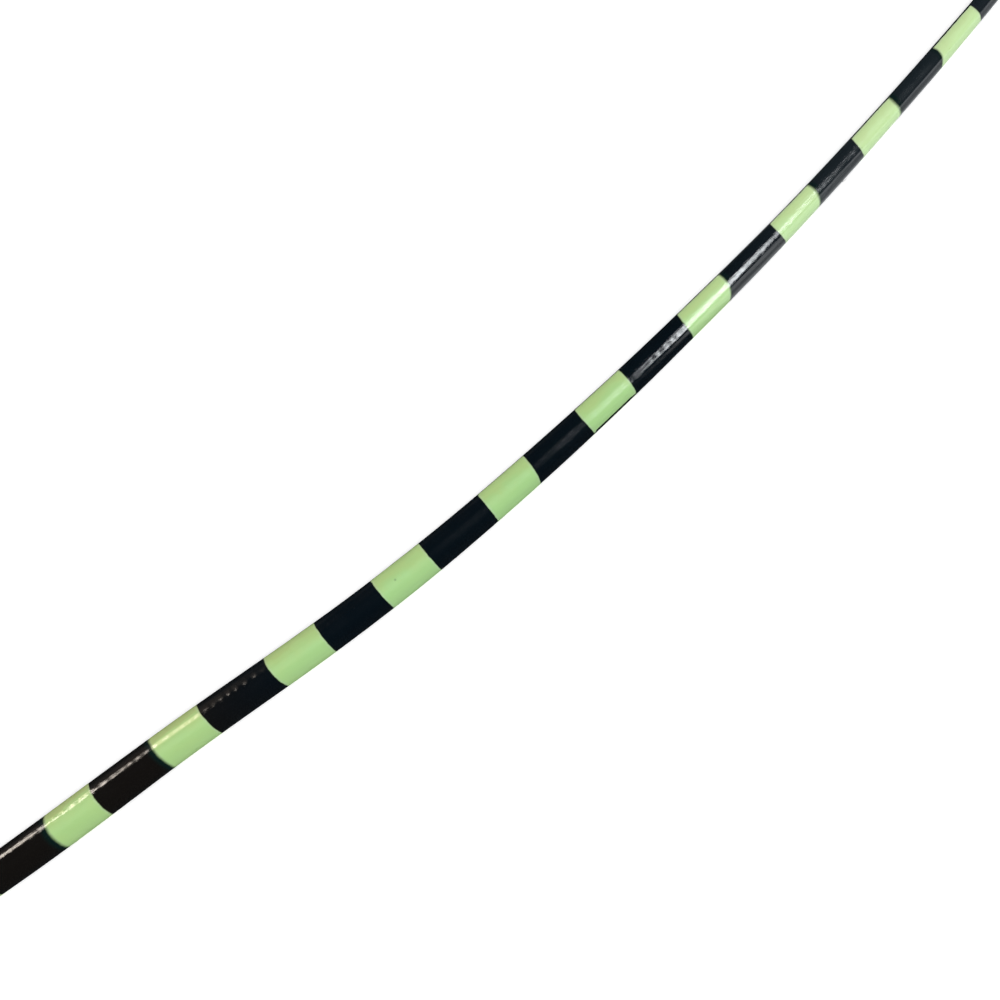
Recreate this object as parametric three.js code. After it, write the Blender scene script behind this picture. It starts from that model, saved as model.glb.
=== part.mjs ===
// The bare shaft of an ostrich feather: one long curved quill, stripped of its barbs, lying on a flat surface.
// Millimetres, +Z up. The root is at -X, the tip at +X, and the hollow of the curve faces +Y.
import * as THREE from "three";
import { mergeVertices } from "three/addons/utils/BufferGeometryUtils.js";

// Overall size, and how finely the surface is divided.
const LENGTH = 430; // along the curve, root to tip
const SIDES = 28; // facets around the shaft
const STATIONS = 120; // rings between root and tip
const CROWDING = 0.8; // how much closer the rings stand at the two ends, 0 for evenly spaced

// How sharply the shaft bends, in degrees per millimetre, at distances in millimetres from the root.
const BEND = [
  [0, 0],
  [30, -0.02],
  [62, 0.12],
  [92, -0.095],
  [122, 0.168],
  [152, 0.113],
  [182, 0.072],
  [212, 0.1],
  [242, 0.065],
  [280, 0.16],
  [340, 0.2],
  [430, 0.24],
];

// Half the width from one barb side to the other, in millimetres, at distances from the root.
const HALF_WIDTH = [
  [0, 0.75],
  [0.7, 1.25],
  [2.2, 1.7],
  [5, 2.08],
  [12, 2.45],
  [30, 2.75],
  [62, 3.0],
  [92, 2.86],
  [122, 2.75],
  [152, 2.58],
  [182, 2.39],
  [212, 2.16],
  [251, 1.89],
  [300, 1.42],
  [350, 0.95],
  [400, 0.52],
  [430, 0.25],
];

// Half the thickness from the back of the shaft to its grooved side, as a share of the half width.
const FLATNESS = [
  [0, 0.97],
  [40, 0.93],
  [62, 0.84],
  [122, 0.88],
  [182, 0.88],
  [251, 0.86],
  [330, 0.86],
  [430, 0.9],
];

// How far the back leans over towards the outside of the curve, in degrees: the shaft lies rolled on its side.
const ROLL = [
  [0, 34],
  [62, 40],
  [122, 52],
  [182, 66],
  [222, 76],
  [251, 81],
  [330, 86],
  [430, 88],
];

// The groove under the shaft, between its two ribs.
const GROOVE_HALF_WIDTH = 0.66; // share of the half width
const GROOVE_DEPTH = 0.4; // share of the half thickness
const GROOVE_START = 48; // where the round root ends and the groove begins
const GROOVE_FULL = 84; // where it has its full depth
const GROOVE_WALL = 4; // the higher, the steeper its walls
const SQUARENESS = 2.4; // of the outline where it is grooved: 2 is an ellipse, higher is boxier

// The two ends, and the last stretch that curls up off the surface.
const ROOT_DIMPLE = 0.9; // depth of the small pit in the root's blunt end
const TIP_POINT = 0.25; // how far the tip's point stands out of its last ring
const LIFT_START = 330;
const TIP_LIFT = 3.2;

const BEND_STEP = 1; // millimetres between the points that the curve is worked out at

// Value at a distance along the shaft, on a smooth curve through a list of [distance, value] pairs.
function along(pairs, distance) {
  const last = pairs.length - 1;
  const found = pairs.findIndex(([d]) => d > distance);
  const i = found < 0 ? last - 1 : Math.max(found - 1, 0);
  const slopeAt = (k) => {
    const [d0, v0] = pairs[Math.max(k - 1, 0)];
    const [d1, v1] = pairs[Math.min(k + 1, last)];
    return (v1 - v0) / (d1 - d0);
  };
  const [start, from] = pairs[i];
  const [end, to] = pairs[i + 1];
  const span = end - start;
  const t = THREE.MathUtils.clamp((distance - start) / span, 0, 1);
  return (
    from * (1 + 2 * t) * (1 - t) ** 2 +
    to * (3 - 2 * t) * t ** 2 +
    span * t * (1 - t) * (slopeAt(i) * (1 - t) - slopeAt(i + 1) * t)
  );
}

// The middle line seen from above: points every BEND_STEP, each with its heading, starting along +X.
function middleLine() {
  const points = [{ x: 0, y: 0, heading: 0 }];
  for (let d = 0; d < LENGTH; d += BEND_STEP) {
    const { x, y, heading } = points[points.length - 1];
    const turn = THREE.MathUtils.degToRad(along(BEND, d + BEND_STEP / 2) * BEND_STEP);
    const middle = heading + turn / 2;
    points.push({
      x: x + BEND_STEP * Math.cos(middle),
      y: y + BEND_STEP * Math.sin(middle),
      heading: heading + turn,
    });
  }
  return points;
}
const line = middleLine();

function lineAt(distance) {
  const place = THREE.MathUtils.clamp(distance / BEND_STEP, 0, line.length - 1);
  const i = Math.min(Math.floor(place), line.length - 2);
  const t = place - i;
  return {
    x: THREE.MathUtils.lerp(line[i].x, line[i + 1].x, t),
    y: THREE.MathUtils.lerp(line[i].y, line[i + 1].y, t),
    heading: THREE.MathUtils.lerp(line[i].heading, line[i + 1].heading, t),
  };
}

// A point of the shaft's outline at a distance from the root, before it is rolled: the angle runs round from the
// middle of the back, side is towards the outside of the curve and back is towards the back of the shaft.
function outlineAt(distance, angle) {
  const halfWidth = along(HALF_WIDTH, distance);
  const halfThickness = halfWidth * along(FLATNESS, distance);
  const grooved = THREE.MathUtils.smoothstep(distance, GROOVE_START, GROOVE_FULL);
  const power = 2 / THREE.MathUtils.lerp(2, SQUARENESS, grooved);
  const across = Math.sign(Math.sin(angle)) * Math.abs(Math.sin(angle)) ** power;
  const outward = Math.sign(Math.cos(angle)) * Math.abs(Math.cos(angle)) ** power;
  const hollow = Math.max(0, 1 - (Math.abs(across) / GROOVE_HALF_WIDTH) ** GROOVE_WALL);
  const groove = outward < 0 ? GROOVE_DEPTH * grooved * hollow : 0;
  return { side: halfWidth * across, back: halfThickness * (outward + groove) };
}

// The same point once the shaft is rolled on its side, as a distance across and a height over the middle line.
function rolledAt(distance, angle) {
  const { side, back } = outlineAt(distance, angle);
  const roll = THREE.MathUtils.degToRad(along(ROLL, distance));
  return {
    across: side * Math.cos(roll) + back * Math.sin(roll),
    up: back * Math.cos(roll) - side * Math.sin(roll),
  };
}

// Height of the middle line: each ring's lowest point rests on the surface, and the tip curls up off it.
function heightAt(distance) {
  let lowest = 0;
  for (let k = 0; k < SIDES; k += 1) {
    lowest = Math.min(lowest, rolledAt(distance, (2 * Math.PI * k) / SIDES).up);
  }
  const lift = Math.max(0, (distance - LIFT_START) / (LENGTH - LIFT_START));
  return TIP_LIFT * lift ** 2 - lowest;
}

// A closed cylinder with a ring for each station is reshaped: its height becomes the distance from the root,
// and the direction round its axis becomes the angle round the outline.
function quillGeometry() {
  const plain = new THREE.CylinderGeometry(1, 1, 1, SIDES, STATIONS);
  plain.deleteAttribute("normal");
  plain.deleteAttribute("uv");
  const geometry = mergeVertices(plain);
  const points = geometry.attributes.position;
  for (let i = 0; i < points.count; i += 1) {
    const share = points.getY(i) + 0.5;
    const eased = share - (CROWDING * Math.sin(2 * Math.PI * share)) / (2 * Math.PI);
    const distance = LENGTH * eased;
    const { x, y, heading } = lineAt(distance);
    const radius = Math.hypot(points.getX(i), points.getZ(i));
    const { across, up } =
      radius > 0.5
        ? rolledAt(distance, Math.atan2(points.getX(i), points.getZ(i)))
        : { across: 0, up: 0 };
    const endShift = radius > 0.5 ? 0 : share < 0.5 ? ROOT_DIMPLE : TIP_POINT;
    points.setXYZ(
      i,
      x + across * Math.sin(heading) + endShift * Math.cos(heading),
      y - across * Math.cos(heading) + endShift * Math.sin(heading),
      heightAt(distance) + up,
    );
  }
  return geometry;
}

// The straight line from root to tip is turned onto +X, and the middle of the base comes to the origin.
const geometry = quillGeometry();
const tip = line[line.length - 1];
geometry.rotateZ(-Math.atan2(tip.y, tip.x));
geometry.computeBoundingBox();
const box = geometry.boundingBox;
geometry.translate(-(box.min.x + box.max.x) / 2, -(box.min.y + box.max.y) / 2, -box.min.z);
geometry.computeVertexNormals();

const dyedKeratin = new THREE.MeshStandardMaterial({ color: 0xa9d88a, roughness: 0.35, metalness: 0 });
const quill = new THREE.Mesh(geometry, dyedKeratin);
quill.name = "quill";

const feather = new THREE.Group();
feather.add(quill);

export default feather;
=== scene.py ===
# %% [markdown]
# # A bare ostrich quill, dyed in bands
# The object is the shaft of an ostrich feather with all its barbs stripped off. It was bleached, dyed lime
# green, wrapped in narrow tape at even distances and dyed black, so that the shaft stayed green under each
# tape. This notebook models the shaft finely over the plain solid that the frame holds, and dyes it with
# shader nodes.

# %% Load the frame
import math
import random

import bmesh
import bpy
from mathutils import Matrix, Vector, noise


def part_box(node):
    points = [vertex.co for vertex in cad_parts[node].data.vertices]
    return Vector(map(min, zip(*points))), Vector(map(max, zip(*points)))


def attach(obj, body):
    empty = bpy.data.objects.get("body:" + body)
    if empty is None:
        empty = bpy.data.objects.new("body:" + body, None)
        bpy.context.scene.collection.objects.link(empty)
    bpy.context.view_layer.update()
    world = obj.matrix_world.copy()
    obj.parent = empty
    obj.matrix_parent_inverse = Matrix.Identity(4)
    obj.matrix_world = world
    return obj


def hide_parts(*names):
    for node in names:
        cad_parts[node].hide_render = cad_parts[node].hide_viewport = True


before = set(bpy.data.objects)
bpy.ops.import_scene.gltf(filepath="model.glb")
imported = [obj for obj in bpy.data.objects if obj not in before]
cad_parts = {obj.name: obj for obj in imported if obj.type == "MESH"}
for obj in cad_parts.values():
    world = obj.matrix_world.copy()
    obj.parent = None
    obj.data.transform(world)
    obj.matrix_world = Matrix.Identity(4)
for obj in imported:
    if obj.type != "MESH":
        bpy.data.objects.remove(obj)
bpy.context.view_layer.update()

MM = 0.001  # a millimetre in metres, which Blender counts in

# %% [markdown]
# ## The driving sizes
# A shaft is described best by a few numbers at distances along it: how sharply it bends, how wide and how
# thick it is, and how far it lies rolled over on its side. They are the numbers that the plain solid was
# made from, in millimetres, so the fine surface lands on the solid. They are turned to metres only when a
# vertex is placed.

# %% Driving sizes
LENGTH = 430  # along the curve, from root to tip
BEND = [  # degrees per millimetre, at distances from the root
    (0, 0), (30, -0.02), (62, 0.12), (92, -0.095), (122, 0.168), (152, 0.113),
    (182, 0.072), (212, 0.1), (242, 0.065), (280, 0.16), (340, 0.2), (430, 0.24),
]
HALF_WIDTH = [
    (0, 0.75), (0.7, 1.25), (2.2, 1.7), (5, 2.08), (12, 2.45), (30, 2.75),
    (62, 3.0), (92, 2.86), (122, 2.75), (152, 2.58), (182, 2.39), (212, 2.16),
    (251, 1.89), (300, 1.42), (350, 0.95), (400, 0.52), (430, 0.25),
]
FLATNESS = [  # half the thickness, as a share of the half width
    (0, 0.97), (40, 0.93), (62, 0.84), (122, 0.88),
    (182, 0.88), (251, 0.86), (330, 0.86), (430, 0.9),
]
ROLL = [  # degrees that the back leans towards the outside of the curve
    (0, 34), (62, 40), (122, 52), (182, 66),
    (222, 76), (251, 81), (330, 86), (430, 88),
]
GROOVE_HALF_WIDTH = 0.66  # share of the half width
GROOVE_DEPTH = 0.4  # share of the half thickness
GROOVE_START = 48  # where the round root ends and the groove begins
GROOVE_FULL = 84  # where it has its full depth
GROOVE_WALL = 4  # the higher, the steeper its walls
SQUARENESS = 2.4  # of the grooved outline: 2 is an ellipse, higher is boxier
ROOT_DIMPLE = 0.9  # depth of the small pit in the root's blunt end
TIP_POINT = 0.25  # how far the tip's point stands out of its last ring
LIFT_START = 330  # where the tip starts to curl up off the surface
TIP_LIFT = 3.2  # how far it has risen at its end
print("along the curve, mm:", LENGTH, "and at its widest:", 2 * max(half for _, half in HALF_WIDTH))

# %% [markdown]
# ## A smooth value between a few given ones
# Straight lines between the given values would leave kinks that catch the light. A cubic curve whose slope
# at each given value is that of its two neighbours has none, and it still passes through every number in
# the list. Two more helpers, a smooth step and a smooth hump, are for what sets in or passes by.

# %% Read a list of sizes at any distance
def slope_at(pairs, k):
    before = pairs[max(k - 1, 0)]
    after = pairs[min(k + 1, len(pairs) - 1)]
    return (after[1] - before[1]) / (after[0] - before[0])


def along(pairs, distance):
    """The value at a distance, on a smooth curve through a list of (distance, value) pairs."""
    i = 0
    while i < len(pairs) - 2 and pairs[i + 1][0] <= distance:
        i += 1
    start, first = pairs[i]
    end, second = pairs[i + 1]
    span = end - start
    t = min(max((distance - start) / span, 0), 1)
    level = first * (1 + 2 * t) * (1 - t) ** 2 + second * (3 - 2 * t) * t ** 2
    pull = slope_at(pairs, i) * (1 - t) - slope_at(pairs, i + 1) * t
    return level + span * t * (1 - t) * pull


def ease(value, low, high):
    """0 up to low, 1 from high on, and a smooth rise between them."""
    t = min(max((value - low) / (high - low), 0), 1)
    return t * t * (3 - 2 * t)


def hump(value, middle, width):
    """1 at the middle, falling smoothly to almost nothing at twice the width from it."""
    return math.exp(-((value - middle) / width) ** 2)


print("half width at 100 mm:", round(along(HALF_WIDTH, 100), 2), "mm")

# %% [markdown]
# ## The middle line
# The shaft's middle line is walked out step by step: at each millimetre the heading turns by the bend
# given there. It is then turned so that root and tip lie on one line along X, as the frame has them.

# %% Walk the middle line
def walk_middle_line():
    """The line's x, y and heading at every millimetre."""
    line = [(0.0, 0.0, 0.0)]
    for step in range(LENGTH):
        x, y, heading = line[-1]
        turn = math.radians(along(BEND, step + 0.5))
        middle = heading + turn / 2
        line.append((x + math.cos(middle), y + math.sin(middle), heading + turn))
    chord = math.atan2(line[-1][1], line[-1][0])
    turned = []
    for x, y, heading in line:
        spot = Matrix.Rotation(-chord, 2) @ Vector((x, y))
        turned.append(Vector((spot.x, spot.y, heading - chord)))
    return turned


middle_line = walk_middle_line()


def line_at(distance):
    i = min(int(distance), LENGTH - 1)
    return middle_line[i].lerp(middle_line[i + 1], distance - i)


print("heading at root and tip, degrees:",
      [round(math.degrees(end.z), 1) for end in (middle_line[0], middle_line[-1])])

# %% [markdown]
# ## The cross section
# The root is round, with a small pit in its blunt end. Further on the shaft grows boxier, and a groove
# between two ribs runs along its underside to the tip. One formula gives the whole outline: an ellipse
# whose corners are drawn out by a power, with a steep-walled hollow pressed into the side away from the
# back. The outline is then rolled over on its side and set down on the surface.

# %% The outline at a distance from the root
AROUND = 72  # vertices round the shaft
ANGLES = [2 * math.pi * k / AROUND for k in range(AROUND)]


def section_at(distance):
    half_width = along(HALF_WIDTH, distance)
    grooved = ease(distance, GROOVE_START, GROOVE_FULL)
    return {
        "distance": distance,
        "half_width": half_width,
        "half_thick": half_width * along(FLATNESS, distance),
        "power": 2 / (2 + (SQUARENESS - 2) * grooved),
        "groove": GROOVE_DEPTH * grooved,
        "roll": math.radians(along(ROLL, distance)),
    }


def outline(section, angle):
    """A point of the outline: x is towards the outside of the curve, y towards the shaft's back.

    The angle runs round from the middle of the back, first towards the outside of the curve.
    """
    sine = math.sin(angle)
    cosine = math.cos(angle)
    across = math.copysign(abs(sine) ** section["power"], sine)
    outward = math.copysign(abs(cosine) ** section["power"], cosine)
    if outward < 0:
        hollow = max(0, 1 - (abs(across) / GROOVE_HALF_WIDTH) ** GROOVE_WALL)
        outward += section["groove"] * hollow
    return Vector((section["half_width"] * across, section["half_thick"] * outward))


def rolled(section, point):
    """The same point as a distance across and a height over the middle line, on the rolled shaft."""
    return Matrix.Rotation(-section["roll"], 2) @ point


def height_at(section):
    """Height of the middle line: the lowest point touches the surface, until the tip curls up."""
    lowest = min(rolled(section, outline(section, angle)).y for angle in ANGLES)
    lift = max(0, (section["distance"] - LIFT_START) / (LENGTH - LIFT_START))
    return TIP_LIFT * lift ** 2 - lowest


print("middle line's height at 150 mm:", round(height_at(section_at(150)), 2), "mm")

# %% [markdown]
# ## What the knife and the follicle left
# A stripped shaft isn't a turned rod. Along each side runs the line where the barbs sat, a row of small
# beads with a pit between each two, and scars where the barbs were torn off. Faint lengthwise ridges cover
# the horn, a long flat runs along each side of the back towards the tip, and the thickness wanders a
# little. Each of these is under a tenth of a millimetre, yet they break up the highlights, so they are
# modelled in the mesh and not left to the shader alone.

# %% Sizes of the relief, in millimetres
BARB_LINE = [(0, 72), (92, 72), (182, 63), (430, 60)]  # degrees from the middle of the back
BARB_LINE_WIDTH = math.radians(9)
BARB_PITCH = 1.45
BARB_BEAD = [  # how far a bead stands out, at distances from the root
    (0, 0.02), (68, 0.024), (77, 0.024), (82, 0.012), (94, 0.012), (99, 0.034),
    (106, 0.03), (120, 0.008), (165, 0.003), (182, 0.006), (196, 0.003), (430, 0.003),
]
BEAD_STRAY = 0.8  # how far a bead stands off its even place
BEAD_STRAY_LENGTH = 5  # the length of shaft over which that changes
BEAD_STRENGTH = 0.75
BEAD_STRENGTH_CHANGE = 0.9
BEAD_STRENGTH_LENGTH = 3.1
SCAR_RISE = [
    (0, 0.004), (66, 0.004), (70, 0.085), (75, 0.075), (79, 0.012),
    (86, 0.012), (90, 0.06), (96, 0.06), (104, 0.014), (150, 0.004), (430, 0.003),
]
SCAR_WIDTH = math.radians(15)
SCARS_ALONG = 1.1  # the higher, the closer the scars follow each other
SCARS_ROUND = 3.0
FACET = math.radians(35)  # of the long flats' middles, from the middle of the back
FACET_WIDTH = math.radians(16)
FACET_DEPTH = 0.085
FACET_START = 180
FACET_FULL = 210
FIBRE_RISE = 0.012
FIBRE_DETAIL = 9  # the higher, the more ridges on the way round
FIBRE_LENGTH = 22
WANDER_RISE = 0.06
WANDER_DETAIL = 0.6
WANDER_LENGTH = 16
SMALLEST_FULL_RELIEF = 2.0  # half width below which the relief shrinks with the shaft
STRAY_NOISE, STRENGTH_NOISE, TORN_NOISE = 3, 9, 5  # three far places in one noise, so that none repeats
print("highest bead, mm:", max(rise for _, rise in BARB_BEAD))

# %% [markdown]
# ## One height from all of it
# The beads, the scars, the flats, the ridges and the wandering are each a short formula, and their sum is
# how far a spot stands out from the plain outline. Blender's own smooth noise makes them uneven. It needs
# no seed: the same place always gives the same value.

# %% How far a spot stands out
def signed(angle):
    """The same angle between -180 and 180 degrees: above zero on the outside of the curve."""
    return angle if angle <= math.pi else angle - 2 * math.pi


def noise_round(angle, distance, detail, length):
    spot = Vector((math.cos(angle), math.sin(angle), 0))
    return noise.noise(spot * detail + Vector((0, 0, distance / length)))


def barb_beads(distance, around):
    side = math.copysign(1, around)
    stray = noise.noise(Vector((distance / BEAD_STRAY_LENGTH, side, STRAY_NOISE)))
    change = noise.noise(Vector((distance / BEAD_STRENGTH_LENGTH, side, STRENGTH_NOISE)))
    strength = BEAD_STRENGTH + BEAD_STRENGTH_CHANGE * change
    bead = math.cos(2 * math.pi * (distance + BEAD_STRAY * stray) / BARB_PITCH)
    return along(BARB_BEAD, distance) * strength * bead


def torn_scars(distance, around):
    torn = noise.noise(Vector((distance * SCARS_ALONG, around * SCARS_ROUND, TORN_NOISE)))
    return along(SCAR_RISE, distance) * torn


def relief(section, angle):
    distance = section["distance"]
    around = signed(angle)
    barb_line = math.radians(along(BARB_LINE, distance))
    wander = WANDER_RISE * noise_round(angle, distance, WANDER_DETAIL, WANDER_LENGTH)
    fibre = FIBRE_RISE * noise_round(angle, distance, FIBRE_DETAIL, FIBRE_LENGTH)
    barbs = barb_beads(distance, around) * hump(abs(around), barb_line, BARB_LINE_WIDTH)
    scars = torn_scars(distance, around) * hump(abs(around), barb_line, SCAR_WIDTH)
    facet = FACET_DEPTH * hump(abs(around), FACET, FACET_WIDTH) * ease(distance, FACET_START, FACET_FULL)
    size = min(1, section["half_width"] / SMALLEST_FULL_RELIEF)
    return size * (wander + fibre + barbs + scars - facet)


print("relief over the groove at 150 mm:", round(relief(section_at(150), math.pi), 3), "mm")

# %% [markdown]
# ## The tapes
# Each tape leaves a green band about 9 mm long. An edge is nearly a plane through the shaft, a little
# askew where the tape was wound on carelessly, and a little bowed where the dye crept under it. The
# picture shows eleven tapes, the first by a corner only. The others are guessed: they follow at the same
# step, each a little off, as a hand winds them.

# %% Where the tapes were
SEEN_TAPES = [  # the two edges of each tape: distance from the root, lean, bow, softness
    ((48.4, 0.0, 0.3, 0.1), (57.4, 0.0, 0.2, 0.2)),
    ((68.7, 0.0, 0.34, 0.45), (76.9, 0.0, 0.15, 0.14)),
    ((87.7, 0.29, 0.14, 0.4), (96.3, 0.29, 0.11, 0.12)),
    ((107.8, 0.28, 0.34, 0.14), (116.9, 0.12, 0.07, 0.1)),
    ((127.3, 0.15, 0.08, 0.1), (136.3, 0.09, 0.11, 0.1)),
    ((147.5, -0.07, 0.04, 0.1), (156.4, -0.33, -0.11, 0.12)),
    ((166.6, -0.03, 0.22, 0.12), (175.7, -0.15, 0.05, 0.12)),
    ((187.5, -0.21, 0.31, 0.2), (196.6, -0.62, -0.43, 0.35)),
    ((207.5, -0.07, 0.28, 0.14), (216.1, -0.36, -0.37, 0.4)),
    ((225.5, -0.25, 0.29, 0.14), (234.4, -0.2, 0.03, 0.45)),
    ((244.8, -0.46, -0.5, 0.3), (253.7, -0.2, 0.0, 0.14)),
]
TAPE_WIDTH = 9.0
TAPE_STEP = 19.6  # from one tape's middle to the next
ROOT_TAPES = [9.5, 30.0]  # middles of the tapes nearer the root
FIRST_TIP_TAPE = 268.6  # middle of the first tape nearer the tip
TIP_TAPES = 9
PLACE_STRAY = 0.8
EDGE_STRAY = 0.3  # of the lean and of the bow
EDGE_SOFTNESS = (0.1, 0.35)


def wind_more_tapes():
    wound = random.Random(4)  # a fixed seed winds them the same way on every run
    planned = ROOT_TAPES + [FIRST_TIP_TAPE + TAPE_STEP * k for k in range(TIP_TAPES)]
    middles = [middle + wound.uniform(-PLACE_STRAY, PLACE_STRAY) for middle in planned]
    tapes = []
    for middle in middles:
        edges = []
        for side in (-1, 1):
            lean = wound.uniform(-EDGE_STRAY, EDGE_STRAY)
            bow = wound.uniform(-EDGE_STRAY, EDGE_STRAY)
            softness = wound.uniform(*EDGE_SOFTNESS)
            edges.append((middle + side * TAPE_WIDTH / 2, lean, bow, softness))
        tapes.append(tuple(edges))
    return tapes


TAPES = SEEN_TAPES + wind_more_tapes()
print("green bands:", len(TAPES))

# %% [markdown]
# ## How deep a spot lies in the dye
# A painted picture would be the other way to get the bands, but it blurs close up. Here the script works
# out for each vertex how far it lies inside the black, in millimetres, and how soft the nearest edge is,
# and the shader draws the edge from those two values at any sharpness. Dye also creeps along the groove,
# which a tape only bridges, over the inner rim of the shaft towards the tip, and in one short stripe along
# its outer rim.

# %% Depth in the dye, in millimetres
NO_DYE = -5
WELL_DYED = 5  # for the middles of the two ends
RADIAN = 0.9  # length of a radian round the shaft, as a share of the half width
GROOVE_DYE_EDGE = math.pi - math.asin(0.74)  # the angle on a rib, just outside the groove
WET_RIM = [  # how far the dye creeps over the inner rim
    (0, NO_DYE), (150, NO_DYE), (170, -0.6), (176, -0.05),
    (182, 0.15), (190, 0.3), (251, 0.4), (430, 0.4),
]
WET_OUTER_RIM = [
    (0, NO_DYE), (162, NO_DYE), (165.5, 0.32), (176.5, 0.32), (180, NO_DYE), (430, NO_DYE),
]
OUTER_RIM_STRIPE = 0.7  # how far the stripe of dye reaches past the outer rim, towards the floor
RIM_SOFTNESS = 0.08


def past_edge(edge, distance, lean_place):
    """How far beyond a tape's edge a spot lies; lean_place runs across the shaft, from -1 to 1."""
    place, lean, bow, _ = edge
    return distance - place - lean * lean_place - bow * lean_place ** 2


def tape_dye(distance, lean_place):
    """How far outside the nearest tape a spot lies, and how soft that tape's edge is."""
    under_tape, softness = max(
        min((past_edge(near, distance, lean_place), near[3]),
            (-past_edge(far, distance, lean_place), far[3]))
        for near, far in TAPES
    )
    return -under_tape, softness


def rim_angles(section):
    """The two angles of the outline that stand farthest out on either side of the rolled shaft."""
    across = [rolled(section, outline(section, angle)).x for angle in ANGLES]
    inner = ANGLES[across.index(min(across))] - 2 * math.pi
    outer = ANGLES[across.index(max(across))]
    return inner, outer


def dye_at(section, rims, angle, lean_place):
    distance = section["distance"]
    around = signed(angle)
    reach = RADIAN * section["half_width"]
    depth, softness = tape_dye(distance, lean_place)
    groove = (abs(around) - GROOVE_DYE_EDGE) * reach if distance > GROOVE_START else NO_DYE
    inner_rim = (rims[0] - around) * reach + along(WET_RIM, distance)
    past_rim = (around - rims[1]) * reach
    outer_rim = min(past_rim + along(WET_OUTER_RIM, distance), OUTER_RIM_STRIPE - past_rim)
    wet = max(groove, inner_rim if around < 0 else NO_DYE, outer_rim if around > 0 else NO_DYE)
    if wet > depth:
        return wet, RIM_SOFTNESS
    return depth, softness


print("depth in the dye between two tapes, mm:", round(tape_dye(101.9, 0)[0], 2))

# %% [markdown]
# ## From the outline to the bent shaft
# A curve object with a bevel has the same section from end to end, and this one changes all the way, so
# every point is placed by formula. It is pushed out of the plain outline by its relief, rolled with the
# shaft, and set across the middle line. The rings stand a quarter of a millimetre apart as far as the
# picture goes, and farther apart beyond it.

# %% Places on the bent shaft
RING_PLACES = [(0, 0), (50, 12), (1060, 274), (1330, LENGTH)]  # count of rings, distance reached
RINGS = RING_PLACES[-1][0]


def ring_distance(k):
    for (first, start), (last, end) in zip(RING_PLACES, RING_PLACES[1:]):
        if k <= last:
            return start + (end - start) * (k - first) / (last - first)


def skin_frame(distance):
    """A place on the middle line, and the directions ahead and to the outside of the curve."""
    here = line_at(distance)
    ahead = Vector((math.cos(here.z), math.sin(here.z), 0))
    outside = Vector((math.sin(here.z), -math.cos(here.z), 0))
    return Vector((here.x, here.y, 0)), ahead, outside


def surface_spot(section, angle, height):
    """The spot on the bent shaft, its place on the straight one, and the way out of the section."""
    flat = outline(section, angle)
    steepness = (flat.x / section["half_width"] ** 2, flat.y / section["half_thick"] ** 2)
    push = Vector(steepness).normalized()
    spot = rolled(section, flat + push * relief(section, angle))
    middle, _, outside = skin_frame(section["distance"])
    place = middle + outside * spot.x + Vector((0, 0, height + spot.y))
    return place, (section["distance"], flat.x, flat.y), spot.x, rolled(section, push)


print("rings:", RINGS, "and the gap between them in the picture, mm:",
      round(ring_distance(501) - ring_distance(500), 2))

# %% [markdown]
# ## The shaft
# The mesh starts as a closed cylinder whose long edges are cut into many rings, and each ring is then
# moved onto the outline at its distance. The attribute "straight" keeps every vertex's place on the shaft
# before it is bent, which the shader needs for patterns that follow the horn: the distance from the root,
# and then the outline's x and y. "dye" and "soft" hold the depth in the dye and the softness of its edge.

# %% Cut a cylinder into rings and set each on its outline
def set_ring(verts, distance, layers):
    section = section_at(distance)
    rims = rim_angles(section)
    half_view = rolled(section, outline(section, rims[1])).x
    height = height_at(section)
    middle, ahead, _ = skin_frame(distance)
    for vert in verts:
        if math.hypot(vert.co.x, vert.co.y) < 0.5:  # the middle of the root's or the tip's cap
            shift = ROOT_DIMPLE if distance < LENGTH / 2 else TIP_POINT
            vert.co = (middle + ahead * shift + Vector((0, 0, height))) * MM
            vert[layers["straight"]] = (distance, 0, 0)
            vert[layers["dye"]] = WELL_DYED
            continue
        angle = math.atan2(vert.co.y, vert.co.x) % (2 * math.pi)
        place, straight, across, _ = surface_spot(section, angle, height)
        vert.co = place * MM
        vert[layers["straight"]] = straight
        vert[layers["dye"]], vert[layers["soft"]] = dye_at(section, rims, angle, across / half_view)


def add_layers(bm):
    return {
        "straight": bm.verts.layers.float_vector.new("straight"),
        "dye": bm.verts.layers.float.new("dye"),
        "soft": bm.verts.layers.float.new("soft"),
    }


def rises(edge, least):
    """Whether an edge climbs by more than the least along Z."""
    return abs(edge.verts[0].co.z - edge.verts[1].co.z) > least


def finished_piece(bm, name):
    mesh = bpy.data.meshes.new(name)
    for face in bm.faces:
        face.smooth = True
    bm.to_mesh(mesh)
    bm.free()
    piece = bpy.data.objects.new(name, mesh)
    bpy.context.scene.collection.objects.link(piece)
    return piece


def make_shaft():
    """The shaft's bmesh, and how far it was moved from the middle line's own place to the frame's."""
    bm = bmesh.new()
    bmesh.ops.create_cone(
        bm, cap_ends=True, cap_tris=True, segments=AROUND, radius1=1, radius2=1, depth=1
    )
    long_edges = [edge for edge in bm.edges if rises(edge, 0.5)]  # the cylinder is 1 high, up from -0.5
    bmesh.ops.subdivide_edges(bm, edges=long_edges, cuts=RINGS - 1)
    layers = add_layers(bm)
    rings = {}
    for vert in bm.verts:
        rings.setdefault(round((vert.co.z + 0.5) * RINGS), []).append(vert)
    for k, verts in rings.items():
        set_ring(verts, ring_distance(k), layers)
    low = Vector([min(vert.co[axis] for vert in bm.verts) for axis in range(3)])
    high = Vector([max(vert.co[axis] for vert in bm.verts) for axis in range(3)])
    node_low, node_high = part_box("quill")
    shift = (node_low + node_high - low - high) / 2
    shift.z = node_low.z - low.z
    bmesh.ops.translate(bm, verts=bm.verts, vec=shift)
    return bm, shift


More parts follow.
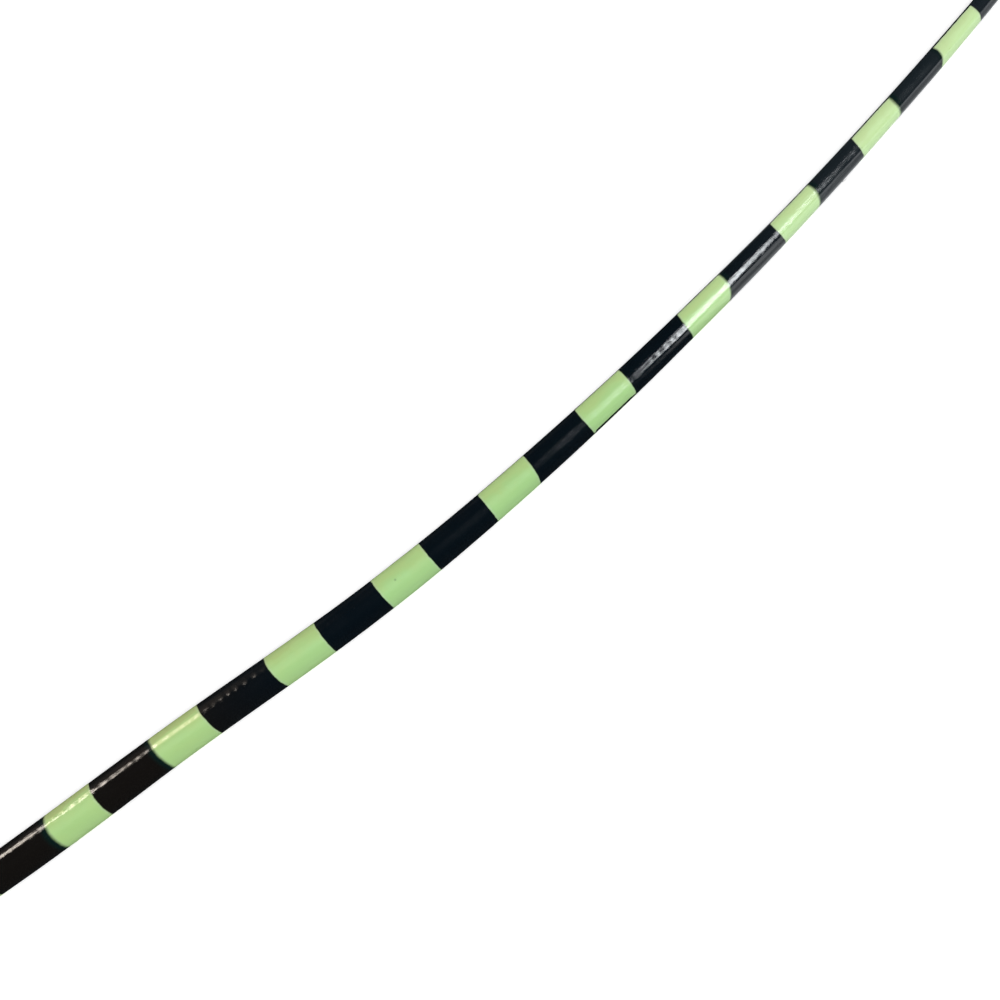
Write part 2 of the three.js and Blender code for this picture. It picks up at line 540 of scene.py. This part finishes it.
shaft_bm, to_frame = make_shaft()
banded_quill = finished_piece(shaft_bm, "banded_quill")
print("banded_quill:", len(banded_quill.data.vertices), "vertices, shifted mm:",
      [round(step / MM, 2) for step in to_frame])

# %% [markdown]
# ## A few barb stubs
# The knife never takes every barb. A few dozen stubs, about half a millimetre long, are left along the two
# barb lines, and one longer stray one nearer the back. All lean towards the tip. Each is a thin cone with
# a few rings, bent a little, so that it casts its own hair-thin shadow.

# %% Stubs on the barb lines
STUB_COUNT = 46
STUB_PLACES = (GROOVE_FULL, 380)  # distances from the root
STUB_STRAY = 0.06  # radians off the barb line
STUB_LENGTHS = (0.25, 0.6)
STUB_LEANS = (0.35, 0.7)  # radians that it stands up from the shaft
STUB_RADIUS = 0.045
STUB_TAPER = 0.3  # its radius at the end, as a share of that at the foot
STUB_BOW = 0.25  # the higher, the more it bends
STUB_SIDES = 6
STUB_RINGS = 4
STUB_SINK = 0.08  # how deep its foot stands in the horn
STRAY_BARB = (220.5, math.radians(12), 1.15, 0.5)  # distance, angle round the shaft, length, lean


def make_stub(bm, layers, distance, angle, length, lean):
    section = section_at(distance)
    place, straight, _, push = surface_spot(section, angle, height_at(section))
    _, ahead, outside = skin_frame(distance)
    outward = outside * push.x + Vector((0, 0, push.y))
    along_stub = (ahead * math.cos(lean) + outward * math.sin(lean)).normalized()
    turned = along_stub.to_track_quat("Z", "Y").to_matrix().to_4x4()
    already = len(bm.verts)
    grown = bmesh.ops.create_cone(
        bm, cap_ends=True, segments=STUB_SIDES, radius1=STUB_RADIUS, radius2=STUB_RADIUS * STUB_TAPER,
        depth=length, matrix=Matrix.Translation((0, 0, length / 2)),
    )["verts"]
    foot_ring = [vert for vert in grown if vert.co.z < length / 2]
    sides = [edge for vert in foot_ring for edge in vert.link_edges if rises(edge, length / 2)]
    bmesh.ops.subdivide_edges(bm, edges=sides, cuts=STUB_RINGS - 1)
    bm.verts.ensure_lookup_table()
    foot = place - outward * STUB_SINK
    for vert in bm.verts[already:]:
        bow = STUB_BOW * vert.co.z ** 2 / length
        vert.co = (foot + turned @ vert.co - outward * bow) * MM + to_frame
        vert[layers["straight"]] = straight
        vert[layers["dye"]], vert[layers["soft"]] = tape_dye(distance, 0)


def make_stubs():
    bm = bmesh.new()
    layers = add_layers(bm)
    make_stub(bm, layers, *STRAY_BARB)
    dice = random.Random(7)
    for _ in range(STUB_COUNT):
        distance = dice.uniform(*STUB_PLACES)
        side = dice.choice((-1, 1))
        stray = dice.uniform(-STUB_STRAY, STUB_STRAY)
        angle = side * (math.radians(along(BARB_LINE, distance)) + stray)
        length = dice.uniform(*STUB_LENGTHS)
        make_stub(bm, layers, distance, angle % (2 * math.pi), length, dice.uniform(*STUB_LEANS))
    bmesh.ops.recalc_face_normals(bm, faces=bm.faces)
    return bm


barb_stubs = finished_piece(make_stubs(), "barb_stubs")
print("barb_stubs:", len(barb_stubs.data.polygons), "faces")

# %% [markdown]
# ## Small helpers for shader nodes
# Shader trees are long when each node and each link takes its own line. A few helpers keep them short. One
# plugs values or other nodes' outputs into a node, one adds a node, and four add the nodes that come up
# most. The last two start a node group with named sockets and a material.

# %% Node helpers
MIX_FIRST, MIX_SECOND, MIX_RESULT = 6, 7, 2  # the Mix node's colour sockets: each data type has its own


def plug(tree, node, inputs):
    for socket, value in inputs.items():
        if isinstance(value, bpy.types.NodeSocket):
            tree.links.new(value, node.inputs[socket])
        else:
            node.inputs[socket].default_value = value


def add(tree, kind, inputs, **settings):
    made = tree.nodes.new(kind)
    for name, value in settings.items():
        setattr(made, name, value)
    plug(tree, made, inputs)
    return made


def math_of(tree, operation, first, second=0.0):
    return add(tree, "ShaderNodeMath", {0: first, 1: second}, operation=operation).outputs[0]


def noise_of(tree, spot, scale, detail, stretch=(1, 1, 1)):
    stretched = add(tree, "ShaderNodeVectorMath", {0: spot, 1: stretch}, operation="MULTIPLY").outputs[0]
    sockets = {"Vector": stretched, "Scale": scale, "Detail": detail}
    return add(tree, "ShaderNodeTexNoise", sockets).outputs[0]


def mapped(tree, value, low, high, to_low=0.0, to_high=1.0):
    """A smooth step from to_low, where the value is low, to to_high, where it is high."""
    sockets = {"Value": value, "From Min": low, "From Max": high, "To Min": to_low, "To Max": to_high}
    return add(tree, "ShaderNodeMapRange", sockets, interpolation_type="SMOOTHSTEP").outputs[0]


def blended(tree, share, first, second):
    sockets = {"Factor": share, MIX_FIRST: first, MIX_SECOND: second}
    return add(tree, "ShaderNodeMix", sockets, data_type="RGBA").outputs[MIX_RESULT]


def new_group(name, inputs, outputs):
    """A node group, the sockets that it is given, and the node that takes its results."""
    tree = bpy.data.node_groups.new(name, "ShaderNodeTree")
    for label, kind in inputs.items():
        tree.interface.new_socket(label, in_out="INPUT", socket_type=kind)
    for label, kind in outputs.items():
        tree.interface.new_socket(label, in_out="OUTPUT", socket_type=kind)
    return tree, tree.nodes.new("NodeGroupInput").outputs, tree.nodes.new("NodeGroupOutput")


def new_material(name):
    material = bpy.data.materials.new(name)
    material.use_nodes = True
    return material, material.node_tree, material.node_tree.nodes["Principled BSDF"]


# %% [markdown]
# ## The edge of the black dye
# Dye doesn't stop at a tape like paint. Its edge wavers by a tenth of a millimetre, where the tape had
# lifted the black thins out through a dark teal, and a faint pale fringe lies just under the tape. Both
# the shaft and the stubs on it need this, so it is a node group: it takes the depth past the edge, the
# softness and the place on the straight shaft, and gives three masks.

# %% Node group: tape edge
FLOAT = "NodeSocketFloat"
VECTOR = "NodeSocketVector"
COARSE_WAVER = 0.2  # millimetres, for the whole range of a noise
FINE_WAVER = 0.12
MIDDLE_WAVER = 0.14  # about half of the two together, so that the edge wavers both ways
BLACK_FROM, BLACK_TO = -1.0, 0.6  # the edge's two ends, in softnesses past the tape
TEAL_TO = 3.0
SOFT_ENOUGH = (0.15, 0.4)  # softness at which teal begins to show, and at which it is full
FRINGE = (-0.42, -0.16)  # where the pale fringe begins and is full: below zero is under the tape


def make_tape_edge():
    tree, given, result = new_group(
        "tape edge",
        {"Depth": FLOAT, "Softness": FLOAT, "Place": VECTOR},
        {"Black": FLOAT, "Teal": FLOAT, "Fringe": FLOAT},
    )
    softness = given["Softness"]
    coarse = math_of(tree, "MULTIPLY", noise_of(tree, given["Place"], scale=0.8, detail=1.0), COARSE_WAVER)
    fine = math_of(tree, "MULTIPLY", noise_of(tree, given["Place"], scale=4.5, detail=2.0), FINE_WAVER)
    centred = math_of(tree, "SUBTRACT", math_of(tree, "ADD", coarse, fine), MIDDLE_WAVER)
    depth = math_of(tree, "ADD", given["Depth"], centred)
    near = math_of(tree, "MULTIPLY", softness, BLACK_FROM)
    far = math_of(tree, "MULTIPLY", softness, BLACK_TO)
    deep = math_of(tree, "MULTIPLY", softness, TEAL_TO)
    black = mapped(tree, depth, near, far)
    fading = mapped(tree, depth, far, deep, to_low=1.0, to_high=0.0)
    bleeding = mapped(tree, softness, *SOFT_ENOUGH)
    outside = mapped(tree, depth, *FRINGE)
    plug(tree, result, {
        "Black": black,
        "Teal": math_of(tree, "MULTIPLY", fading, bleeding),
        "Fringe": math_of(tree, "SUBTRACT", outside, black),
    })
    return tree


tape_edge = make_tape_edge()


def dye_masks(tree):
    """Places a tape edge group fed by the three attributes, and gives its outputs and the place."""
    place = add(tree, "ShaderNodeAttribute", {}, attribute_name="straight").outputs["Vector"]
    depth = add(tree, "ShaderNodeAttribute", {}, attribute_name="dye").outputs["Fac"]
    softness = add(tree, "ShaderNodeAttribute", {}, attribute_name="soft").outputs["Fac"]
    sockets = {"Depth": depth, "Softness": softness, "Place": place}
    return add(tree, "ShaderNodeGroup", sockets, node_tree=tape_edge).outputs, place


print("node group:", tape_edge.name, "with", len(tape_edge.nodes), "nodes")

# %% [markdown]
# ## The lengthwise grain of horn
# Horn is laid down in fibres that run from root to tip. They show as a faint streaking in the colour and
# as fine ridges in the gloss. A noise that is stretched many times along the straight shaft gives both.

# %% Node group: horn grain
FIBRES = (0.07, 1, 1)  # the smaller the first number, the longer the pattern is drawn along the shaft
RIDGES = (0.04, 1, 1)
CLOUDS = (0.6, 1, 1)
RIDGE_SHARE = 0.75  # of the height
GRIT_SHARE = 0.25


def make_horn_grain():
    tree, given, result = new_group(
        "horn grain", {"Place": VECTOR}, {"Streaks": FLOAT, "Mottle": FLOAT, "Height": FLOAT}
    )
    streaks = noise_of(tree, given["Place"], scale=2.6, detail=3.0, stretch=FIBRES)
    mottle = noise_of(tree, given["Place"], scale=0.42, detail=2.0, stretch=CLOUDS)
    ridges = noise_of(tree, given["Place"], scale=6.0, detail=3.0, stretch=RIDGES)
    grit = noise_of(tree, given["Place"], scale=2.6, detail=2.0, stretch=CLOUDS)
    ridges = math_of(tree, "MULTIPLY", ridges, RIDGE_SHARE)
    grit = math_of(tree, "MULTIPLY", grit, GRIT_SHARE)
    height = math_of(tree, "ADD", ridges, grit)
    plug(tree, result, {"Streaks": streaks, "Mottle": mottle, "Height": height})
    return tree


horn_grain = make_horn_grain()
print("node group:", horn_grain.name, "with", len(horn_grain.nodes), "nodes")

# %% [markdown]
# ## Painted highlight and dark specks
# A pale yellow line is painted into the green along the barb side near the root, where a warm highlight
# falls: in dots up to 80 mm from the root and as a line from 86 mm, fading out by 104 mm. A few dark
# specks, where the tape let a drop through, are listed one by one. Both are masks that read the place on
# the straight shaft, so they stay put on the horn.

# %% Masks of the painted highlight and of the specks
# a painted highlight: a pale yellow line along the barb side, where a warm highlight falls near the root
PAINTED_HIGHLIGHT = (0.78, 0.88, 0.42, 1)
HIGHLIGHT_LINE = 0.72  # how far the painted highlight lies from the middle line towards the back, in millimetres
HIGHLIGHT_HALF_WIDTH = 0.5
HIGHLIGHT_SIDE = (-1.5, -2.2)  # across the shaft, towards the inside of the curve
HIGHLIGHT_DOTS = (0.48, 0.6)  # the part of a noise where a dot begins and is full
HIGHLIGHT_DOTS_JOIN = (80, 86)  # distances from the root
HIGHLIGHT_END = (104, 96)
SPECK = (0.10, 0.20, 0.08, 1)
SPECK_STRENGTH = 0.45
SPECKS = [  # distance, angle round the shaft in degrees, radius
    (130.3, -65, 0.26), (92.4, 20, 0.16), (170.2, 120, 0.2), (268.0, -40, 0.16),
]


# Paints the highlight into the green: dots nearer the root, then a line, fading out by 104 mm.
def painted_highlight_line(tree, place, distance, side, back):
    off_line = math_of(tree, "ABSOLUTE", math_of(tree, "SUBTRACT", back, HIGHLIGHT_LINE))
    on_line = mapped(tree, off_line, HIGHLIGHT_HALF_WIDTH, HIGHLIGHT_HALF_WIDTH / 4)
    barb_side = mapped(tree, side, *HIGHLIGHT_SIDE)
    dots = mapped(tree, noise_of(tree, place, scale=1.3, detail=3.0), *HIGHLIGHT_DOTS)
    joined = math_of(tree, "MAXIMUM", dots, mapped(tree, distance, *HIGHLIGHT_DOTS_JOIN, to_high=0.8))
    patchy = math_of(tree, "MULTIPLY", joined, mapped(tree, distance, *HIGHLIGHT_END, to_high=0.8))
    return math_of(tree, "MULTIPLY", math_of(tree, "MULTIPLY", on_line, barb_side), patchy)


def with_specks(tree, place, colour):
    for distance, angle, radius in SPECKS:
        spot = outline(section_at(distance), math.radians(angle))
        sockets = {0: place, 1: (distance, *spot)}
        apart = add(tree, "ShaderNodeVectorMath", sockets, operation="DISTANCE").outputs["Value"]
        inside = mapped(tree, apart, radius, radius / 4, to_high=SPECK_STRENGTH)
        colour = blended(tree, inside, colour, SPECK)
    return colour


print("dark specks:", len(SPECKS))

# %% [markdown]
# ## Green horn
# The green is lime on the thick half, and paler and fresher towards the tip, where the horn took up less
# dye.
# The back is painted a mintier green, as cool light from the right side tints it, more so towards the tip.
# The side towards the groove is yellower and darker: partly the horn where the barbs were torn off, and
# partly painted warm light and shade. Each of these is one plain colour. Masks made from the place on the
# straight shaft blend one into the next, and a cloudy noise frays the masks.

# %% The greens, from the root to the tip
LIME = (0.44, 0.63, 0.245, 1)
# painted cool light: the mintier tint of the back
COOL_LIT_GREEN = (0.385, 0.645, 0.260, 1)
YELLOW_LIME = (0.46, 0.60, 0.20, 1)
# partly torn horn, partly painted warm light and shade on the side towards the groove
TORN_LIME_AND_WARM_SHADE = (0.44, 0.53, 0.20, 1)
PALE_LIME = (0.59, 0.77, 0.39, 1)
PALE_COOL_LIT_GREEN = (0.60, 0.83, 0.41, 1)
CLOUDY = (0.3, 0.7)  # where nearly all of a cloudy noise lies
# where the painted cool light on the back begins and where it is full
COOL_LIGHT_BACK = (0.2, 2.7)  # towards the back of the shaft, in millimetres
COOL_LIGHT_SPREADS = (90, 170)  # this and the next three are distances from the root
PALE_TIPWARD = (158, 236)
YELLOW_ROOTWARD = (135, 80)
TORN_AND_WARM_SHADE_ROOTWARD = (130, 85)
TORN_AND_WARM_SHADE_SIDE = (0.25, -0.25)  # from the middle line towards the groove, in millimetres
STREAKED = (0.62, 0.8)  # the part of the fibre noise that shows as streaks


def green_of(tree, place, streaks, mottle):
    distance, side, back = add(tree, "ShaderNodeSeparateXYZ", {0: place}).outputs
    cloudy = math_of(tree, "ADD", back, mapped(tree, mottle, *CLOUDY, to_low=-0.5, to_high=0.5))
    # painted cool light on the back, which reaches further round towards the tip
    turned = math_of(tree, "ADD", cloudy, mapped(tree, distance, *COOL_LIGHT_SPREADS))
    cool_lit = mapped(tree, turned, *COOL_LIGHT_BACK)
    tipward = mapped(tree, distance, *PALE_TIPWARD, to_high=0.85)
    rootward = mapped(tree, distance, *YELLOW_ROOTWARD, to_high=0.25)
    green = blended(tree, rootward, blended(tree, cool_lit, LIME, COOL_LIT_GREEN), YELLOW_LIME)
    green = blended(tree, tipward, green, blended(tree, cool_lit, PALE_LIME, PALE_COOL_LIT_GREEN))
    # torn horn together with painted warm light and shade, on the side towards the groove
    torn = mapped(tree, distance, *TORN_AND_WARM_SHADE_ROOTWARD, to_low=0.1, to_high=0.8)
    torn = math_of(tree, "MULTIPLY", mapped(tree, cloudy, *TORN_AND_WARM_SHADE_SIDE), torn)
    green = blended(tree, torn, green, TORN_LIME_AND_WARM_SHADE)
    green = blended(tree, mapped(tree, streaks, *STREAKED, to_high=0.25), green, YELLOW_LIME)
    # the painted highlight along the barb side near the root
    green = blended(tree, painted_highlight_line(tree, place, distance, side, back), green, PAINTED_HIGHLIGHT)
    return with_specks(tree, place, green)


print("the green runs from", LIME[:3], "to", PALE_COOL_LIT_GREEN[:3])

# %% [markdown]
# ## Black horn, and the shaft's material
# The black isn't one black either: it is brownish near the root and blue black beyond. Towards the tip it
# turns charcoal, a paler black that is partly the dye's own and partly painted sheen. The dye leaves a
# glossier skin than bare horn has, so the roughness follows the black mask, and the grain's height gives
# the fine ridges that a mesh this size can't hold.

# %% Material of the shaft
BLUE_BLACK = (0.0014, 0.0042, 0.0070, 1)
BROWN_BLACK = (0.0058, 0.0048, 0.0040, 1)
# a paler black towards the tip, partly the dye's own and partly painted sheen
CHARCOAL_AND_SHEEN = (0.0095, 0.0145, 0.0180, 1)
TEAL = (0.002, 0.011, 0.010, 1)
PALE_GREY = (0.50, 0.52, 0.50, 1)
BLACK_TURNS_BLUE = (85, 115)  # distances from the root
BLACK_TURNS_CHARCOAL_AND_SHEEN = (185, 225)
GREEN_GETS_GLOSSY = (110, 150)
GREEN_ROUGHNESS = (0.2, 0.17)  # before and after that
BLACK_ROUGHNESS = 0.125
RIDGE_HEIGHT = 0.000028  # metres
FRINGE_STRENGTH = 0.2
HORN_IOR = 1.54


def banded_horn_material():
    material, tree, shader = new_material("banded horn")
    dyed, place = dye_masks(tree)
    grain = add(tree, "ShaderNodeGroup", {"Place": place}, node_tree=horn_grain).outputs
    green = green_of(tree, place, grain["Streaks"], grain["Mottle"])
    fringe = math_of(tree, "MULTIPLY", dyed["Fringe"], FRINGE_STRENGTH)
    green = blended(tree, fringe, green, PALE_GREY)
    distance = add(tree, "ShaderNodeSeparateXYZ", {0: place}).outputs["X"]
    ink = blended(tree, mapped(tree, distance, *BLACK_TURNS_BLUE), BROWN_BLACK, BLUE_BLACK)
    # charcoal towards the tip, partly painted sheen
    ink = blended(tree, mapped(tree, distance, *BLACK_TURNS_CHARCOAL_AND_SHEEN), ink, CHARCOAL_AND_SHEEN)
    ink = blended(tree, dyed["Teal"], ink, TEAL)
    patchy = mapped(tree, grain["Mottle"], *CLOUDY, to_low=-0.02, to_high=0.04)
    bare = mapped(tree, distance, *GREEN_GETS_GLOSSY, *GREEN_ROUGHNESS)
    smooth = mapped(tree, dyed["Black"], 0, 1, bare, BLACK_ROUGHNESS)
    ridges = {"Height": grain["Height"], "Strength": 1.0, "Distance": RIDGE_HEIGHT}
    plug(tree, shader, {
        "Base Color": blended(tree, dyed["Black"], green, ink),
        "Roughness": math_of(tree, "ADD", smooth, patchy),
        "Normal": add(tree, "ShaderNodeBump", ridges).outputs[0],
        "IOR": HORN_IOR,
    })
    return material


banded_quill.data.materials.append(banded_horn_material())
print("nodes in the shaft's material:", len(banded_quill.active_material.node_tree.nodes))

# %% [markdown]
# ## The stubs' material
# A barb soaks up more dye than the smooth shaft, and it is duller. The stubs share the tape edge group, so
# each takes the colour of the band that it stands in.

# %% Material of the stubs
def stub_material():
    material, tree, shader = new_material("barb stub")
    dyed, place = dye_masks(tree)
    fuzz = noise_of(tree, place, scale=9.0, detail=2.0)
    green = blended(tree, fuzz, LIME, YELLOW_LIME)
    ink = blended(tree, fuzz, BLUE_BLACK, BROWN_BLACK)
    plug(tree, shader, {"Base Color": blended(tree, dyed["Black"], green, ink), "Roughness": 0.6})
    return material


barb_stubs.data.materials.append(stub_material())
for piece in (banded_quill, barb_stubs):
    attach(piece, "root")
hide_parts("quill")
print("materials:", [material.name for material in bpy.data.materials])

# %% [markdown]
# ## Where the picture was taken from
# The picture shows the shaft from almost straight above, between 57 and 258 millimetres from its root.
# Camera and lamps are placed on a sheet of paper under the picture: that sheet's origin is under the
# picture's middle, X runs to the right and Y up the picture. One point of the shaft and its heading are
# known there, and they tie the sheet to the frame.

# %% The paper under the picture
KNOWN_DISTANCE = 62
KNOWN_SPOT = Vector((-70.47, -52.50))
KNOWN_HEADING = math.radians(35.52)


def paper_matrix():
    here = line_at(KNOWN_DISTANCE)
    spin = Matrix.Rotation(here.z - KNOWN_HEADING, 4, "Z")
    frame_spot = Vector((here.x, here.y, 0)) + Vector((to_frame.x, to_frame.y, 0)) / MM
    return Matrix.Translation(frame_spot) @ spin @ Matrix.Translation(-KNOWN_SPOT.to_3d())


paper = paper_matrix()


def on_paper(x, y, z):
    return (paper @ Vector((x, y, z))) * MM


def point_at(thing, spot, target, sideways=(1, 0, 0)):
    """Sets a camera or a lamp at a spot of the paper, looking at a target, its own X turned sideways."""
    back = (Vector(spot) - Vector(target)).normalized()
    right = Vector(sideways)
    right = (right - back * right.dot(back)).normalized()
    turned = Matrix((right, back.cross(right), back)).transposed().to_4x4()
    thing.matrix_world = Matrix.Translation(on_paper(*spot)) @ paper.to_3x3().to_4x4() @ turned


print("the paper's origin in the frame, mm:", [round(step / MM, 1) for step in on_paper(0, 0, 0)])

# %% [markdown]
# ## The camera
# A camera that stands near shows the near parts larger, and one that stands far off shows all of it at one
# scale. This one stands a quarter of a metre above the paper, as a hand holds it for a close picture, and
# a few degrees off the upright.

# %% Camera
CAMERA_HEIGHT = 240
CAMERA_TILT = math.radians(3.4)
CAMERA_SIDE = math.radians(225)  # where the camera stands, seen from the picture's middle
PIXELS = 1000
FOCAL_PIXELS = 1600
SENSOR = 36.0


def make_camera():
    data = bpy.data.cameras.new("camera")
    data.sensor_width = SENSOR
    data.lens = SENSOR * FOCAL_PIXELS / PIXELS
    data.clip_start = 0.01
    camera = bpy.data.objects.new("camera", data)
    bpy.context.scene.collection.objects.link(camera)
    back = CAMERA_HEIGHT * math.tan(CAMERA_TILT)
    spot = (back * math.cos(CAMERA_SIDE), back * math.sin(CAMERA_SIDE), CAMERA_HEIGHT)
    point_at(camera, spot, (0, 0, 0))
    bpy.context.scene.camera = camera
    return camera


camera = make_camera()
print("camera, mm:", [round(step / MM) for step in camera.location])

# %% [markdown]
# ## The floor
# The floor is a plain near-white sheet. It glows a little, so that it comes out white with lamps that don't
# bleach the shaft, and it is kept out of reflections, so that the black bands stay deep.

# %% Floor
FLOOR_SIZE = 1800
FLOOR_GLOW = 0.4
PAPER_WHITE = (0.90, 0.90, 0.89, 1)
PAPER_SHADE = (0.87, 0.87, 0.87, 1)
PAPER_ROUGHNESS = 0.85


def make_floor():
    bm = bmesh.new()
    bmesh.ops.create_grid(bm, x_segments=8, y_segments=8, size=FLOOR_SIZE / 2 * MM)
    floor = finished_piece(bm, "floor")
    material, tree, shader = new_material("floor sheet")
    spot = add(tree, "ShaderNodeTexCoord", {}).outputs["Object"]
    shade = noise_of(tree, spot, scale=6.0, detail=3.0)
    plug(tree, shader, {
        "Base Color": blended(tree, shade, PAPER_WHITE, PAPER_SHADE),
        "Roughness": PAPER_ROUGHNESS,
        "Emission Color": (1, 1, 1, 1),
        "Emission Strength": FLOOR_GLOW,
    })
    floor.data.materials.append(material)
    floor.visible_glossy = False


make_floor()
print("floor, mm:", FLOOR_SIZE)

# %% [markdown]
# ## The lamps
# A broad soft fill lights the sheet and the shaft evenly, and is kept out of reflections too. Smaller
# lamps draw the highlights: a warm one low beside the root with a faint glow round it, a long cool one
# over the thin half, and one at the right for the long flat on that side. Two flat lamps lie on the sheet
# itself and stand in for its pale reflection low on the flanks, the stronger one under the thin half.

# %% Lamps
TIPWARD = math.radians(42)  # heading of the shaft on the paper, in the picture's middle
TOWARD_TIP = (math.cos(TIPWARD), math.sin(TIPWARD), 0)
WHITE = (1.0, 1.0, 1.0)
WARM = (1.0, 0.90, 0.79)
WARMER = (1.0, 0.82, 0.66)
COOL = (0.93, 0.97, 1.0)
HARDLY_COOL = (0.95, 0.98, 1.0)
HARDLY_WARM = (1.0, 0.98, 0.95)
LAMPS = [  # name, spot, target, size along the shaft and across, watts, colour, lights bodies, draws gloss
    ("fill", (0, 0, 1000), (0, 0, 0), (1200, 1200), 14.6, WHITE, True, False),
    ("warm lamp", (-491, 248, 230), (-62, -45, 0), (130, 160), 1.0, WARM, False, True),
    ("warm glow", (-456, 225, 150), (-62, -45, 0), (280, 280), 0.08, WARMER, False, True),
    ("cool lamp", (221, 78, 574), (43, 40, 0), (40, 600), 2.5, COOL, False, True),
    ("side lamp", (540, -130, 130), (60, 60, 0), (300, 250), 0.40, HARDLY_COOL, True, True),
    ("sheet at the right", (103, 30, 0.5), (103, 30, 100), (100, 110), 0.023, HARDLY_COOL, False, True),
    ("sheet at the left", (-85, 10, 0.5), (-85, 10, 100), (160, 70), 0.006, HARDLY_WARM, False, True),
]


def make_lamp(name, spot, target, size, watts, colour, lights_bodies, draws_gloss):
    data = bpy.data.lights.new(name, "AREA")
    data.shape = "RECTANGLE"
    data.size = size[0] * MM
    data.size_y = size[1] * MM
    data.energy = watts
    data.color = colour
    lamp = bpy.data.objects.new(name, data)
    bpy.context.scene.collection.objects.link(lamp)
    point_at(lamp, spot, target, TOWARD_TIP)
    lamp.visible_camera = False
    lamp.visible_diffuse = lights_bodies
    lamp.visible_glossy = draws_gloss


for lamp in LAMPS:
    make_lamp(*lamp)
print("lamps:", len(LAMPS))

# %% [markdown]
# ## What lies beyond the sheet
# The picture's ground is plain white up to its edges. So the world is white to the camera, and almost
# dark to the shaft, which would otherwise mirror it. The Standard view keeps the white white.

# %% World
WORLD_SEEN = (1, 1, 1, 1)
WORLD_MIRRORED = (0.8, 0.9, 1.0, 1)
WORLD_DIM = 0.03


def make_world():
    world = bpy.data.worlds.new("studio")
    bpy.context.scene.world = world
    world.use_nodes = True
    tree = world.node_tree
    dim = tree.nodes["Background"]
    plug(tree, dim, {"Color": WORLD_MIRRORED, "Strength": WORLD_DIM})
    bright = add(tree, "ShaderNodeBackground", {"Color": WORLD_SEEN, "Strength": 1.0})
    seen = add(tree, "ShaderNodeLightPath", {}).outputs["Is Camera Ray"]
    both = add(tree, "ShaderNodeMixShader", {0: seen, 1: dim.outputs[0], 2: bright.outputs[0]})
    plug(tree, tree.nodes["World Output"], {"Surface": both.outputs[0]})


make_world()
bpy.context.scene.view_settings.view_transform = "Standard"
print("view:", bpy.context.scene.view_settings.view_transform)
